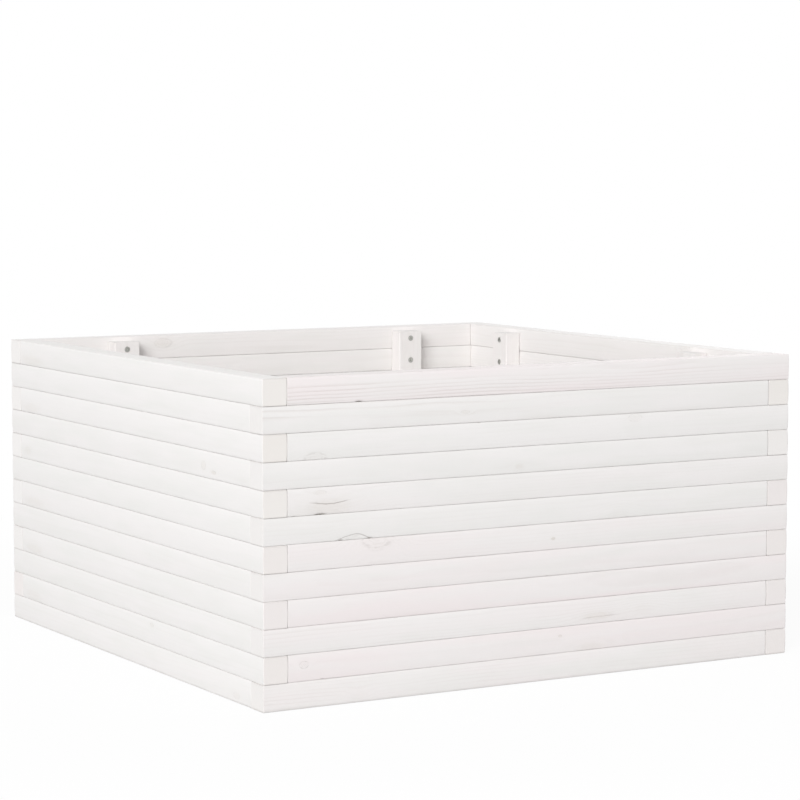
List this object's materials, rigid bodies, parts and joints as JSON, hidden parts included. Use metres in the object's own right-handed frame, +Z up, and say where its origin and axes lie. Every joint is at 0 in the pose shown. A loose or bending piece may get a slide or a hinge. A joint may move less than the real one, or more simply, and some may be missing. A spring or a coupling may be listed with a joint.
{
  "type": "garden planter",
  "caption": "Square wooden garden planter with walls of stacked white battens lapped at the corners, and a slatted floor inside.",
  "frame": {"origin": "on the ground, under the middle of the planter", "axes": "+Z up, -Y out of the front wall, +X to the right along the front wall"},
  "size_m": [0.9, 0.9, 0.4599],
  "materials": {
    "white_pine": "white glazed, matt",
    "white_pine_floor": "thinly white glazed, matt",
    "zinc_steel": "zinc plated"
  },
  "bodies": {
    "root": {"front_rail_01": "white_pine", "front_rail_02": "white_pine", "front_rail_03": "white_pine", "front_rail_04": "white_pine", "front_rail_05": "white_pine", "front_rail_06": "white_pine", "front_rail_07": "white_pine", "front_rail_08": "white_pine", "front_rail_09": "white_pine", "front_rail_10": "white_pine", "front_rail_11": "white_pine", "front_rail_12": "white_pine", "right_rail_01": "white_pine", "right_rail_02": "white_pine", "right_rail_03": "white_pine", "right_rail_04": "white_pine", "right_rail_05": "white_pine", "right_rail_06": "white_pine", "right_rail_07": "white_pine", "right_rail_08": "white_pine", "right_rail_09": "white_pine", "right_rail_10": "white_pine", "right_rail_11": "white_pine", "right_rail_12": "white_pine", "back_rail_01": "white_pine", "back_rail_02": "white_pine", "back_rail_03": "white_pine", "back_rail_04": "white_pine", "back_rail_05": "white_pine", "back_rail_06": "white_pine", "back_rail_07": "white_pine", "back_rail_08": "white_pine", "back_rail_09": "white_pine", "back_rail_10": "white_pine", "back_rail_11": "white_pine", "back_rail_12": "white_pine", "left_rail_01": "white_pine", "left_rail_02": "white_pine", "left_rail_03": "white_pine", "left_rail_04": "white_pine", "left_rail_05": "white_pine", "left_rail_06": "white_pine", "left_rail_07": "white_pine", "left_rail_08": "white_pine", "left_rail_09": "white_pine", "left_rail_10": "white_pine", "left_rail_11": "white_pine", "left_rail_12": "white_pine", "front_upright_left": "white_pine", "front_upright_right": "white_pine", "right_upright_left": "white_pine", "right_upright_right": "white_pine", "back_upright_left": "white_pine", "back_upright_right": "white_pine", "left_upright_left": "white_pine", "left_upright_right": "white_pine", "floor_bearers": "white_pine_floor", "floor_slats": "white_pine_floor", "corner_rods": "zinc_steel", "wood_screws": "zinc_steel"}
  },
  "joints": []
}
